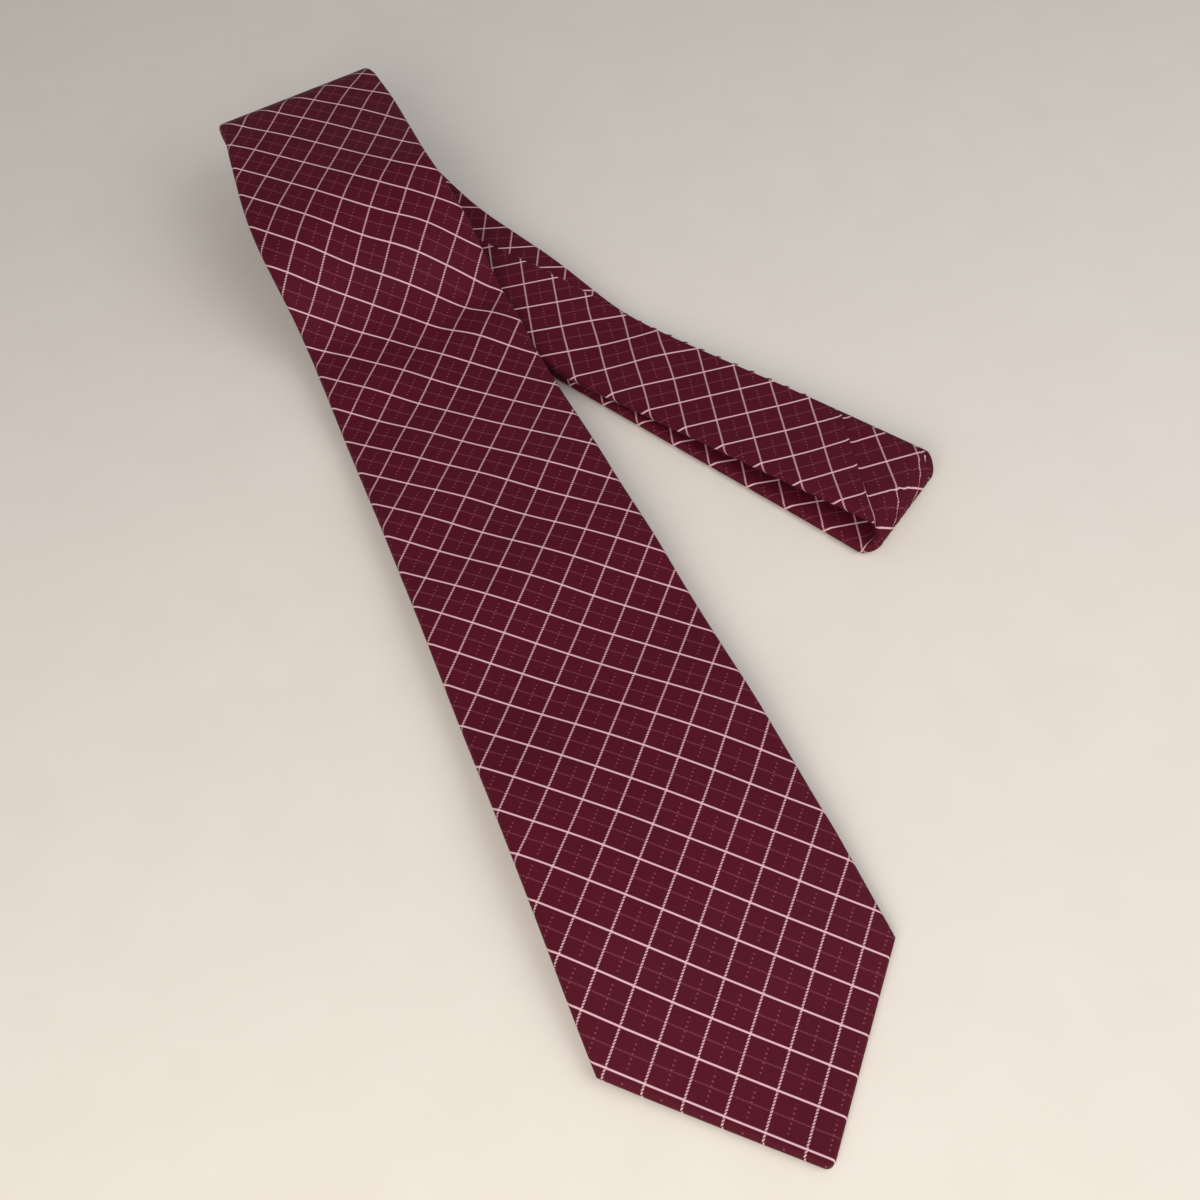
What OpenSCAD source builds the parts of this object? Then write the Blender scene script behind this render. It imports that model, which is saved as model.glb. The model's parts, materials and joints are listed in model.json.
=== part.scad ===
// Folded necktie: a pieced, bias-cut shell round a wool interlining, laid in four
// legs. The front blade lies on top, face up. The neck turns under it, runs out to
// the right with its back up, turns under itself and comes back beneath the blade,
// and the tail lies at the bottom. The front blade opens about the first fold.
// Frame: +Z up, the tip of the front blade points to -Y, the table is Z = 0.

/* [Strip] */
// Thickness of the flattened tie
tie_t = 3.4; // [3:0.1:4]
// Thickness of the shell cloth
cloth_t = 0.5; // [0.4:0.05:0.6]
// Half the widest width of the front blade, at its corners
blade_half = 45; // [42:0.5:46]
// Half the width of the neck
neck_half = 18; // [17:0.5:19]
// Half the widest width of the tail
tail_half = 21.5; // [20:0.5:22]

/* [Front blade] */
// Distance from the tip to the first fold
blade_len = 420.3; // [415:0.1:425]
// Height of the middle of the cloth at the first fold
blade_lift = 37.8; // [36:0.1:39]
// Angle of the first fold line to square across the blade
fold1_angle = 10.2; // [9:0.1:11.5]

/* [Neck] */
// Length from the first fold to the soft corner in the neck
neck_run_a = 152; // [150:1:154]
// Length from the corner to the second fold
neck_run_b = 124; // [122:1:126]
// Turn of the neck just after the first fold, sideways
neck_settle = 3.9; // [3.5:0.1:4.3]
// Turn of the soft corner, sideways
neck_turn = 7.1; // [6.7:0.1:7.5]
// Height of the middle of the cloth at the second fold
neck_lift = 9.4; // [9:0.1:10]
// Direction of the second fold line
fold2_angle = 29.6; // [29.2:0.05:30]

/* [Return leg and tail] */
// Length of the leg that comes back beneath the blade
return_len = 250; // [248:1:252]
// Height of the middle of the cloth at the third fold
return_lift = 11.1; // [10.5:0.1:11.5]
// Direction of the third fold line
fold3_angle = 13.75; // [13:0.25:14.5]
// Length of the tail below the third fold
tail_len = 332; // [320:1:334]

/* [Joins and trim] */
// Where the join of the front and neck pieces meets the neck's lower edge
join1_at = 731; // [728:0.5:731]
// Where the join of the neck and tail pieces crosses the middle of the face
join2_at = 1108; // [1105:1:1115]
// How far the joins run along the tie for each millimetre across it
join_slope = 0.89; // [0.8:0.01:1]
// Distance of the keeper loop from the front tip
keeper_at = 168; // [160:1:175]
// Length of the keeper loop across the blade
keeper_len = 56; // [50:1:60]
// Distance of the woven label from the front tip
label_at = 205; // [200:1:215]

/* [Placing] */
// Place of the front tip, so that the part's box is centred on the origin
tip_place = [-48.6, -219.8];

/* [Hidden] */

half_t = tie_t / 2;
half_cloth = cloth_t / 2;
// level of the cloth's middle under the face, and of the outer and inner back panels
skin_d = half_t - half_cloth;
inner_d = skin_d - cloth_t - 0.1;
// levels of the interlining; the seams of the joins lie above it, under the face
wool_top = skin_d - half_cloth - 0.35;
wool_bottom = -inner_d + half_cloth + 0.2;
// gap kept at the ends of nodes that meet
end_gap = 0.15;
// length of shell on each side of the first fold that bends with it
fold_margin = 14;

function unit(a) = [cos(a), sin(a)];
function clamp01(x) = min(1, max(0, x));
function smooth(a, b, x) = let (t = clamp01((x - a) / (b - a))) t * t * (3 - 2 * t);
function flat3(p, z) = [p[0], p[1], z];

// Half the tie's width along its length, from the front tip to the tail tip
widths = [
    [45, blade_half], [150, 42], [235, 39.2], [320, 37], [356, 36.2], [405, 34],
    [440, 31.3], [470, 27.8], [520, 23.4], [568, 21], [604, neck_half + 0.9],
    [635, neck_half + 0.2], [705, neck_half + 1], [760, neck_half], [1000, neck_half],
    [1040, neck_half + 0.5], [1300, tail_half]
];
function half_width(s) =
    min(s, tie_len - s, lookup(s, widths));

// ---- how the blade lies: the middle of its cloth, by distance from the tip ----
// height above the table
blade_heights = [
    [0, 1.8], [20, 1.8], [40, 2.6], [60, 5.6], [80, 8.1], [100, 9.1], [125, 10.1],
    [150, 8.4], [165, 8.4], [190, 10.1], [215, 9.1], [232, 10.1], [262, 8.3],
    [280, 8.6], [300, 11.2], [314, 12.2], [325, 16.5], [335, 23.5], [345, 30],
    [356, 35.2], [368, 37.6], [385, blade_lift], [450, blade_lift]
];
// rise for each millimetre to the right
blade_tilts = [
    [0, 0], [100, 0], [150, 0.03], [265, 0.07], [300, 0.08], [320, 0.13], [345, 0.14],
    [370, 0.07], [400, -0.02], [450, -0.02]
];
// how far the blade's middle lies to the side of a straight line
blade_sways = [
    [0, 0], [60, 0.3], [110, 1.1], [200, 1.8], [318, 1.7], [334, 0.5], [348, -1.7],
    [360, -3.2], [372, -3.1], [388, -2], [405, -0.9], [450, -0.9]
];
fold1_tilt = -0.02;
function blade_z(s, r) = lookup(s, blade_heights) + lookup(s, blade_tilts) * r;
// how far the neck's middle lies over the return leg's, and its rise towards the right
neck_over = 4.7;
neck_tilt = 0.034;

// ---- folds: each one turns a leg under itself about a straight line ----
// A leg's frame: [start s, start point, direction of travel, direction of the side]
// A fold: [s, point, travel, side, line angle, radius, drift along the line, face sign]
leg1 = [0, tip_place, 90, 0];
r1 = (blade_lift - neck_level(0)) / 2;
fold1 = [
    blade_len, tip_place + [lookup(blade_len, blade_sways), blade_len], 90, 0,
    fold1_angle, r1, -3.9, 1
];
leg2 = after(fold1);
// the neck's way between its folds: runs of [length, turn]
settle_from = 8;
settle_len = 60;
corner_len = 36;
neck_runs = [
    [settle_from, 0], [settle_len, neck_settle],
    [neck_run_a - settle_from - settle_len - corner_len / 2, 0],
    [corner_len, neck_turn], [neck_run_b - corner_len / 2, 0]
];
// where each run starts: [s, point, direction of travel]
function after_run(mark, run) =
    [mark[0] + run[0], along_run(mark, run, run[0]), mark[2] + run[1]];
function along_run(mark, run, ds) =
    (run[1] == 0) ? mark[1] + ds * unit(mark[2])
    : let (bend = run[0] * 180 / PI / run[1])
        mark[1] + bend * (unit(mark[2] + run[1] * ds / run[0] - 90) - unit(mark[2] - 90));
neck_marks = [
    for (
        i = 0, mark = [leg2[0], leg2[1], leg2[2]];
        i <= len(neck_runs);
        mark = (i < len(neck_runs)) ? after_run(mark, neck_runs[i]) : mark, i = i + 1
    ) mark
];
neck_end = neck_marks[len(neck_runs)];
r2 = (neck_lift - half_t) / 2;
fold2 = [
    neck_end[0], neck_end[1], neck_end[2], leg2[3] + neck_end[2] - leg2[2],
    fold2_angle, r2, -8, -1
];
leg3 = after(fold2);
fold3_s = leg3[0] + return_len;
r3 = (return_lift - half_t) / 2;
fold3 = [
    fold3_s, leg3[1] + return_len * unit(leg3[2]), leg3[2], leg3[3],
    fold3_angle, r3, 0, 1
];
leg4 = after(fold3);
tie_len = leg4[0] + tail_len;

// unit vector across a fold line, in the direction of travel
function across(f) =
    let (n = unit(f[4] + 90)) (n * unit(f[2]) > 0) ? n : -n;
function arc_len(f) = PI * f[5];
function fold_e(f, s, r) =
    let (n = across(f)) (s - f[0]) * (unit(f[2]) * n) + r * (unit(f[3]) * n);
function fold_f(f, s, r) =
    let (l = unit(f[4])) (s - f[0]) * (unit(f[2]) * l) + r * (unit(f[3]) * l);
function after(f) =
    let (run = arc_len(f) / (across(f) * unit(f[2])))
    [
        f[0] + run,
        f[1] + unit(f[4]) * (fold_f(f, f[0] + run, 0) + f[6]),
        2 * f[4] - f[2], 2 * f[4] - f[3]
    ];
function on_fold(f, level, s, r, d) =
    let (
        e = fold_e(f, s, r),
        turn = e / f[5] * 180 / PI,
        radius = f[5] + f[7] * d,
        p = f[1] + across(f) * (radius * sin(turn))
            + unit(f[4]) * (fold_f(f, s, r) + f[6] * e / arc_len(f))
    )
    flat3(p, level - f[5] + radius * cos(turn));

// ---- heights of the lower legs ----
// the return leg climbs over the tail beneath the blade, then up to the third fold
function return_level(q) =
    half_t + 3.8 * (1 - smooth(80, 130, q))
    + (return_lift - half_t - 3.8) * (1 - smooth(8, 55, q));
// the neck lies on the return leg, and rises to the second fold
function neck_level(q) =
    neck_over + return_level(q - 27) + (neck_lift - half_t - neck_over) * smooth(150, 262, q);
function neck_z(s, r) =
    let (q = s - leg2[0])
    neck_level(q) + r * (
        fold1_tilt * (1 - smooth(0, 40, q))
        + neck_tilt * smooth(40, 90, q) * (1 - smooth(215, 262, q))
    );
function return_z(s, r) = return_level(fold3_s - s);

// ---- the lay of the tie: a point s along it, r across it, d towards the face ----
function leg_point(o, travel, side, z, zs, zr, sign, ds, r, d) =
    let (n = [-zs, -zr, 1] / norm([zs, zr, 1]))
    flat3(
        o + unit(travel) * (ds + sign * d * n[0]) + unit(side) * (r + sign * d * n[1]),
        z + sign * d * n[2]
    );
slope_step = 1;
function blade_point(s, r, d) =
    leg_point(
        tip_place, 90, 0, blade_z(s, r),
        (blade_z(s + slope_step, r) - blade_z(s - slope_step, r)) / 2 / slope_step,
        lookup(s, blade_tilts), 1, s, r + lookup(s, blade_sways), d
    );
function neck_point(s, r, d) =
    let (
        i = max(0, min(len(neck_runs), len([for (m = neck_marks) if (m[0] <= s) 1])) - 1),
        mark = neck_marks[i],
        run = neck_runs[i],
        heading = mark[2] + run[1] * (s - mark[0]) / run[0]
    )
    leg_point(
        along_run(mark, run, s - mark[0]), heading, leg2[3] + heading - leg2[2],
        neck_z(s, r),
        (neck_z(s + slope_step, r) - neck_z(s - slope_step, r)) / 2 / slope_step,
        0, -1, 0, r, d
    );
function return_point(s, r, d) =
    leg_point(
        leg3[1], leg3[2], leg3[3], return_z(s, r),
        (return_z(s + slope_step, r) - return_z(s - slope_step, r)) / 2 / slope_step,
        0, 1, s - leg3[0], r, d
    );
function tail_point(s, r, d) =
    leg_point(leg4[1], leg4[2], leg4[3], half_t, 0, 0, -1, s - leg4[0], r, d);

function lay(s, r, d) =
    (fold_e(fold1, s, r) < 0) ? blade_point(s, r, d)
    : (fold_e(fold1, s, r) < arc_len(fold1))
        ? on_fold(fold1, blade_lift + fold1_tilt * r, s, r, d)
    : (fold_e(fold2, s, r) < 0) ? neck_point(s, r, d)
    : (fold_e(fold2, s, r) < arc_len(fold2)) ? on_fold(fold2, neck_lift, s, r, d)
    : (fold_e(fold3, s, r) < 0) ? return_point(s, r, d)
    : (fold_e(fold3, s, r) < arc_len(fold3)) ? on_fold(fold3, return_lift, s, r, d)
    : tail_point(s, r, d);

// ---- the shell's section: cloth rolled round both edges, overlapped at the back ----
// where the outer back panel ends, measured from the middle, near a pointed end
hem = 14;
gap_top = 66;
seam_starts = 104;
function point_gap(u, half) =
    (u < hem) ? 0.15
    : (u < half) ? min(half, u) - hem + 0.15
    : 0.15 + max(0, half - hem) * (1 - clamp01((u - half) / (gap_top - half)));
function to_tip(s) = min(s, tie_len - s);
function end_half(s) = (s < tie_len / 2) ? blade_half : tail_half;
// the seam lies at the middle of the blade and crosses to the edge of the neck
seam_places = [[480, 4], [525, 7], [600, neck_half - 2], [1000, neck_half - 2], [1040, 4]];
function outer_end(s) =
    let (k = smooth(seam_starts - 16, seam_starts, to_tip(s)))
    (1 - k) * -point_gap(to_tip(s), end_half(s)) + k * lookup(s, seam_places);
function inner_end(s) =
    let (k = smooth(seam_starts - 16, seam_starts, to_tip(s)))
    (1 - k) * point_gap(to_tip(s), end_half(s)) + k * -6;
function inner_level(s) =
    let (k = smooth(seam_starts - 26, seam_starts - 16, to_tip(s)))
    skin_d * (1 - k) + inner_d * k;

// length of cloth in the roll at the outer back panel's edge
edge_len = PI * skin_d;
// points of the section as [r, d, normal r, normal d, distance along the cloth]
roll_steps = [0, 45, 90, 135, 180];
face_steps = [-0.5, 0, 0.5];
function shell_section(s) =
    let (
        w = max(0.2, half_width(s) - half_t),
        back = inner_level(s),
        roll = (skin_d + back) / 2,
        left = [outer_end(s), -w],
        right = [w, inner_end(s)]
    )
    concat(
        [for (x = [left[0], (left[0] + left[1]) / 2]) [x, -skin_d, 0, -1, -2 * w - edge_len - x]],
        [for (a = roll_steps) [
            -w - skin_d * sin(a), -skin_d * cos(a), -sin(a), -cos(a),
            -w - edge_len * (1 - a / 180)
        ]],
        [for (x = face_steps) [x * w, skin_d, 0, 1, x * w]],
        [for (a = roll_steps) [
            w + roll * sin(a), skin_d - roll + roll * cos(a), sin(a), cos(a),
            w + roll * PI * a / 180
        ]],
        [for (x = [(right[0] + right[1]) / 2, right[1]])
            [x, -back, 0, -1, 2 * w + roll * PI - x]]
    );

// one ring of a shell: outer line, then the inner line back. skew runs the ring along a
// join: back from the left edge over the outer back panel and, if whole, on over the face
function ring_lag(p, w, whole) = whole ? p[4] : min(0, p[4] + w + edge_len);
function shell_ring(s, skew, whole) =
    let (
        sec = shell_section(s),
        n = len(sec),
        w = half_width(s) - half_t,
        lags = [for (p = sec) s + skew * ring_lag(p, w, whole)]
    )
    concat(
        [for (i = [0:n - 1]) let (p = sec[i])
            lay(lags[i], p[0] + half_cloth * p[2], p[1] + half_cloth * p[3])],
        [for (i = [n - 1:-1:0]) let (p = sec[i])
            lay(lags[i], p[0] - half_cloth * p[2], p[1] - half_cloth * p[3])]
    );
// a flat band between two levels: top line, then the bottom line back
band_steps = [-1, -0.6, -0.2, 0.2, 0.6, 1];
function band_ring(s, r_low, r_high, d_low, d_high) =
    let (mid = (r_low + r_high) / 2, h = (r_high - r_low) / 2)
    concat(
        [for (x = band_steps) lay(s, mid + x * h, d_high)],
        [for (i = [len(band_steps) - 1:-1:0]) lay(s, mid + band_steps[i] * h, d_low)]
    );

// a closed skin over rings whose points pair up, k with 2n-1-k, across a thin wall
module skin(rings) {
    m = len(rings[0]);
    n = m / 2;
    last = (len(rings) - 1) * m;
    walls = [for (i = [0:len(rings) - 2], j = [0:m - 1])
        let (a = i * m + j, b = i * m + (j + 1) % m)
        each [[a, a + m, b], [b, a + m, b + m]]];
    ends = [for (k = [0:n - 2])
        let (p = m - 1 - k)
        each [
            [k, k + 1, p], [p, k + 1, p - 1],
            [last + k, last + p, last + k + 1], [last + p, last + p - 1, last + k + 1]
        ]];
    polyhedron(points = [for (ring = rings) each ring], faces = concat(walls, ends));
}

// stations every step from a to b, both ends included
function steps(a, b, step) =
    let (n = max(1, ceil((b - a) / step))) [for (i = [0:n]) a + (b - a) * i / n];
module shell(stations) { skin([for (s = stations) shell_ring(s, 0, false)]); }
// a shell whose rings turn from square to the slant of the joins at its ends, over a
// ramp. start and end say if the join there runs over the face too; [] is no join
join_ramp = 80;
module joined_shell(stations, start, end) {
    a = stations[0];
    b = stations[len(stations) - 1];
    skin([for (s = stations)
        (len(end) > 0 && s > b - join_ramp)
            ? shell_ring(s, join_slope * smooth(b - join_ramp, b, s), end[0])
        : (len(start) > 0)
            ? shell_ring(
                s, join_slope * (1 - smooth(a, a + (start[0] ? join_ramp : 1), s)), start[0]
            )
        : shell_ring(s, 0, false)]);
}
function wool_half(s) = max(0.4, half_width(s) - half_t - 0.3);
module wool(stations) {
    skin([for (s = stations)
        band_ring(s, -wool_half(s), wool_half(s), wool_bottom, wool_top)]);
}

/* shell pieces */
shell_red = "#5e1a2b";
fold_from = blade_len - fold_margin;
fold_to = leg2[0] + fold_margin;
blade_body = concat(steps(114, 300, 12), steps(309, fold_from - end_gap, 9));
blade_stations = concat(
    [1.4, 4, 8, 13.5, 14.5, 22, 32, 40, 45, 52, 60, 68, 78, 81, 84, 88, 92, 96, 100, 104],
    blade_body
);
module front_shell_blade() { color(shell_red) shell(blade_stations); }
fold_stations = steps(fold_from, fold_to, 3.2);
module front_shell_fold() { color(shell_red) shell(fold_stations); }
module front_shell_neck() {
    color(shell_red)
    joined_shell(concat(
        steps(fold_to + end_gap, 580, 14), steps(590, 645, 9), steps(655, join1_at, 8)
    ), [], [false]);
}
module neck_shell() {
    color(shell_red)
    joined_shell(concat(
        steps(join1_at + end_gap, join1_at + 1.2, 0.3), steps(join1_at + 1.5, 747, 1.3), steps(757, join1_at + 90, 8), steps(833, 981, 15),
        steps(987, 1017, 1.9), steps(1025, join2_at, 8)
    ), [false], [true]);
}
module tail_shell() {
    color(shell_red)
    joined_shell(concat(
        steps(join2_at + end_gap, join2_at + 90, 11), steps(join2_at + 105, tie_len - 108, 15),
        [for (u = [104, 100, 96, 92, 88, 84, 81, 78, 68, 60, 52, 44, 36, 28, 21.5, 14.5, 13.5, 8, 4, 1.4])
            tie_len - u]
    ), [true], []);
}

/* interlining */
wool_white = "#d9d2c4";
wool_join = 706;
module interlining_blade() {
    color(wool_white)
    wool(concat([6, 14, 26, 40, 45, 60, 78, 92, 104], blade_body));
}
module interlining_fold() { color(wool_white) wool(fold_stations); }
module interlining_neck() {
    color(wool_white) wool(steps(fold_to + end_gap, wool_join, 13));
}
module interlining_rear() {
    color(wool_white)
    wool(concat(
        steps(wool_join + end_gap, 728, 8), steps(730, 748, 1.3), steps(760, 976, 15),
        steps(986, 1018, 1.9), steps(1030, tie_len - 60, 18),
        [for (u = [46, 32, 20, 12, 6]) tie_len - u]
    ));
}

/* linings at the two pointed ends */
lining_red = "#4a1420";
lining_d = [-skin_d + half_cloth + 0.1, -skin_d + half_cloth + 0.35];
function lining_half(s) = max(0.3, half_width(s) - half_t - 0.8);
module blade_tipping() {
    color(lining_red)
    skin([for (s = [5, 13, 22, 32, 40, 45, 52, 60, 68, 76])
        band_ring(s, -lining_half(s), lining_half(s), lining_d[0], lining_d[1])]);
}
module tail_tipping() {
    color(lining_red)
    skin([for (u = [76, 66, 55, 45, 34, 21, 12, 5])
        band_ring(tie_len - u, -lining_half(tie_len - u), lining_half(tie_len - u),
            lining_d[0], lining_d[1])]);
}

/* trim on the back of the front blade */
// a band that lies on the back, across it, with its middle standing clear
keeper_h = 11;
keeper_rise = 1.3;
module keeper_loop() {
    color(shell_red)
    skin([for (k = [0:12])
        let (
            x = -keeper_len / 2 + keeper_len * k / 12,
            out = half_t + 0.05 + keeper_rise * smooth(0, 9, keeper_len / 2 - abs(x))
        )
        [for (p = [[0, out + 0.9], [keeper_h, out + 0.9], [keeper_h, out], [0, out]])
            lay(keeper_at + p[0], x, -p[1])]
    ]);
}
// a flat patch on the back: lower corner along the tie, length, half width, levels
module back_patch(s0, length, x0, x1, lift, t) {
    skin([for (s = steps(s0, s0 + length, 6))
        band_ring(s, x0, x1, -half_t - lift - t, -half_t - lift)]);
}
label_h = 26;
label_w = 52;
module woven_label() {
    color("#3a3a3e") back_patch(label_at, label_h, -label_w / 2, label_w / 2, 0.15, 0.3);
}
module care_tag() {
    color("#e9e5dc") back_patch(keeper_at - 34, 24, 8, 24, 0.05, 0.3);
}
module keeper_tacks() {
    color("#7c2a3c")
    for (side = [-1, 1])
        skin([for (s = [keeper_at + 1, keeper_at + keeper_h - 1])
            band_ring(s, side * (keeper_len / 2 - 1.6) - 0.4,
                side * (keeper_len / 2 - 1.6) + 0.4, -half_t - 1.75, -half_t - 1.3)]);
}
module label_stitches() {
    color("#7c2a3c")
    for (end = [1.2, label_h - 1.8])
        back_patch(label_at + end, 0.6, -label_w / 2 + 2, label_w / 2 - 2, 0.5, 0.25);
}
module blade_bar_tack() {
    color("#7c2a3c") back_patch(gap_top + 3, 1.4, -5, 5, 0.05, 0.5);
}
module tail_bar_tack() {
    color("#7c2a3c") back_patch(tie_len - gap_top - 5, 1.4, -5, 5, 0.05, 0.5);
}

/* sewing */
thread_w = 0.6;
thread_t = 0.25;
module seam_thread(stations) {
    color("#7c2a3c")
    skin([for (s = stations)
        let (x = outer_end(s) + 0.4)
        [for (p = [[0, 0], [thread_w, 0], [thread_w, 1], [0, 1]])
            lay(s, x + p[0], -inner_level(s) - half_cloth - 0.22 - thread_t * p[1])]]);
}
module blade_slip_stitch() {
    seam_thread(steps(108, keeper_at - 2, 12));
}
module neck_slip_stitch() { seam_thread(steps(fold_to + 4, 690, 12)); }
module tail_slip_stitch() { seam_thread(steps(join2_at + 60, tie_len - 108, 20)); }
// the sewn line of a join, on the inside of the face
module join_thread(at, slope) {
    color("#7c2a3c")
    skin([for (x = [-0.9, -0.6, -0.3, 0, 0.3, 0.6, 0.9])
        let (r = x * (half_width(at) - half_t))
        [for (p = [[-0.3, 0], [0.3, 0], [0.3, 1], [-0.3, 1]])
            lay(at + slope * r + p[0], r, skin_d - half_cloth - 0.25 + 0.2 * p[1])]]);
}
module neck_join_stitch() { join_thread(join1_at - 0.8, 0); }
module tail_join_stitch() { join_thread(join2_at, join_slope); }

front_shell_blade();
front_shell_fold();
front_shell_neck();
neck_shell();
tail_shell();
interlining_blade();
interlining_fold();
interlining_neck();
interlining_rear();
blade_tipping();
tail_tipping();
keeper_loop();
woven_label();
care_tag();
keeper_tacks();
label_stitches();
blade_bar_tack();
tail_bar_tack();
blade_slip_stitch();
neck_slip_stitch();
tail_slip_stitch();
neck_join_stitch();
tail_join_stitch();
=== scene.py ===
"""A folded necktie, cut and sewn as the real one is. Its shells, linings and interlining
are flat cuts of cloth that the script folds round each other and then lays in four legs.
The lining, trim and stitches of the blade hang on the blade's body, which opens about the
first fold; the blade's shell and canvas are left where they are laid. Lengths are in
millimetres until a mesh is placed."""
import json
import math

import bpy
import numpy as np
from mathutils import Matrix

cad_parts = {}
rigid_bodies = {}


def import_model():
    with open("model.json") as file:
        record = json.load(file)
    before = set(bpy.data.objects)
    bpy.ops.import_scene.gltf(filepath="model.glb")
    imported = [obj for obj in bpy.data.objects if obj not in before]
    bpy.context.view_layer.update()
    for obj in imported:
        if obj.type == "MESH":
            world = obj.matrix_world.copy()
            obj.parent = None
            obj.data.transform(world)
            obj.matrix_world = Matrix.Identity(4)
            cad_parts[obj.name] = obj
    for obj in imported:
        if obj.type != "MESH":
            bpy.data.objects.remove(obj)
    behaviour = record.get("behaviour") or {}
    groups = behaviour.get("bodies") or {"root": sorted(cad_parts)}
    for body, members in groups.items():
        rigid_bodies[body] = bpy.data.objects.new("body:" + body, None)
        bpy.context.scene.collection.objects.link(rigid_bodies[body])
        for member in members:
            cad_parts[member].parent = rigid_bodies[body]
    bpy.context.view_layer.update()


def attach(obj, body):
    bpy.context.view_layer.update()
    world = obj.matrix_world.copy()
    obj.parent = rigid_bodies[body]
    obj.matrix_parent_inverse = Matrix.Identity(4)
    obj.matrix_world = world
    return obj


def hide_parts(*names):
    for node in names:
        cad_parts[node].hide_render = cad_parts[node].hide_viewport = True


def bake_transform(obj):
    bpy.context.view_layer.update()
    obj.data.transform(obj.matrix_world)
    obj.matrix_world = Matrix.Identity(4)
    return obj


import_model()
bpy.ops.object.select_all(action="DESELECT")

MM = 0.001

# ---- camera and light ----
CAMERA_PLACE = (-120.9, -254.0, 356.3)
CAMERA_RIGHT = (0.9104, -0.4133, -0.0192)
CAMERA_UP = (0.3548, 0.756, 0.5501)
CAMERA_AHEAD = (0.2128, 0.5076, -0.8349)
CAMERA_LENS = 39.3


def hex_colour(code):
    """An sRGB hex code as linear red, green, blue and alpha."""
    parts = [int(code[i:i + 2], 16) / 255 for i in (1, 3, 5)]
    return [p / 12.92 if p <= 0.04045 else ((p + 0.055) / 1.055) ** 2.4 for p in parts] + [1]


def add_camera():
    bpy.ops.object.camera_add()
    camera = bpy.context.object
    columns = [CAMERA_RIGHT, CAMERA_UP, [-x for x in CAMERA_AHEAD]]
    turn = Matrix([[column[i] for column in columns] for i in range(3)]).to_4x4()
    camera.matrix_world = Matrix.Translation([x * MM for x in CAMERA_PLACE]) @ turn
    camera.data.lens = CAMERA_LENS
    camera.data.clip_start = 0.01
    bpy.context.scene.camera = camera


def add_soft_light(name, place, size, power, colour):
    """A square area light, in metres, that looks at the middle of the part."""
    bpy.ops.object.light_add(type="AREA", location=place)
    light = bpy.context.object
    light.name = name
    light.data.size = size
    light.data.energy = power
    light.data.color = hex_colour(colour)[:3]
    away = -light.location
    light.rotation_euler = away.to_track_quat("-Z", "Y").to_euler()


# ---- sizes, the same as the part's ----
TIE_T = 3.4
BLADE_HALF = 45
NECK_HALF = 18
TAIL_HALF = 21.5
BLADE_LEN = 420.3
BLADE_LIFT = 37.8
NECK_LIFT = 9.4
RETURN_LEN = 250
RETURN_LIFT = 11.1
TAIL_LEN = 332
JOIN1_AT = 731
JOIN2_AT = 1108
JOIN_SLOPE = 0.89
KEEPER_AT = 168
KEEPER_LEN = 56
KEEPER_WIDE = 11
LABEL_AT = 205
TIP_PLACE = np.array([-48.6, -219.8])
HALF_T = TIE_T / 2

# each row has a distance from the front tip and, there, half the width of the tie, the
# height of the blade's middle, its rise for each millimetre to the right, and its sway
WIDTHS = [
    (45, BLADE_HALF), (150, 42), (235, 39.2), (320, 37), (356, 36.2), (405, 34),
    (440, 31.3), (470, 27.8), (520, 23.4), (568, 21), (604, 18.9), (635, 18.2),
    (705, 19), (760, NECK_HALF), (1000, NECK_HALF), (1040, 18.5), (1300, TAIL_HALF),
]
BLADE_HEIGHTS = [
    (0, 1.8), (20, 1.8), (40, 2.6), (60, 5.6), (80, 8.1), (100, 9.1), (125, 10.1),
    (150, 8.4), (165, 8.4), (190, 10.1), (215, 9.1), (232, 10.1), (262, 8.3),
    (280, 8.6), (300, 11.2), (314, 12.2), (325, 16.5), (335, 23.5), (345, 30),
    (356, 35.2), (368, 37.6), (385, BLADE_LIFT), (450, BLADE_LIFT),
]
BLADE_TILTS = [
    (0, 0), (100, 0), (150, 0.03), (265, 0.07), (300, 0.08), (320, 0.13), (345, 0.14),
    (370, 0.07), (400, -0.02), (450, -0.02),
]
BLADE_SWAYS = [
    (0, 0), (60, 0.3), (110, 1.1), (200, 1.8), (318, 1.7), (334, 0.5), (348, -1.7),
    (360, -3.2), (372, -3.1), (388, -2), (405, -0.9), (450, -0.9),
]
# soft swells and hollows where the blade drapes over the leg under it: their place along
# and across the tie, their height, and their reach each way
BLADE_RIPPLES = [
    (335, 16, 3.2, 11, 17), (313, 28, -1.6, 7, 13), (305, 5, -0.9, 7, 13),
    (297, 25, 1.7, 9, 14), (352, -22, 1.3, 10, 14), (290, -18, 1, 10, 15),
    (262, -16, 0.9, 12, 16), (225, 8, -1, 12, 18), (176, 14, -1, 15, 18),
]
FOLD1_TILT = -0.02
RETURN_OVER = 3.8
NECK_OVER = 4.7
NECK_BEHIND = 27
NECK_TILT = 0.034


def unit(angle):
    return np.array([math.cos(math.radians(angle)), math.sin(math.radians(angle))])


def smooth(a, b, x):
    t = np.clip((x - a) / (b - a), 0, 1)
    return t * t * (3 - 2 * t)


def look_up(x, rows):
    """A table's value at x, averaged over 6 mm each way so that no row leaves a crease."""
    at, values = zip(*rows)
    offsets = np.linspace(-6, 6, 7)
    return sum(np.interp(x + offset, at, values) for offset in offsets) / len(offsets)


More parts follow.
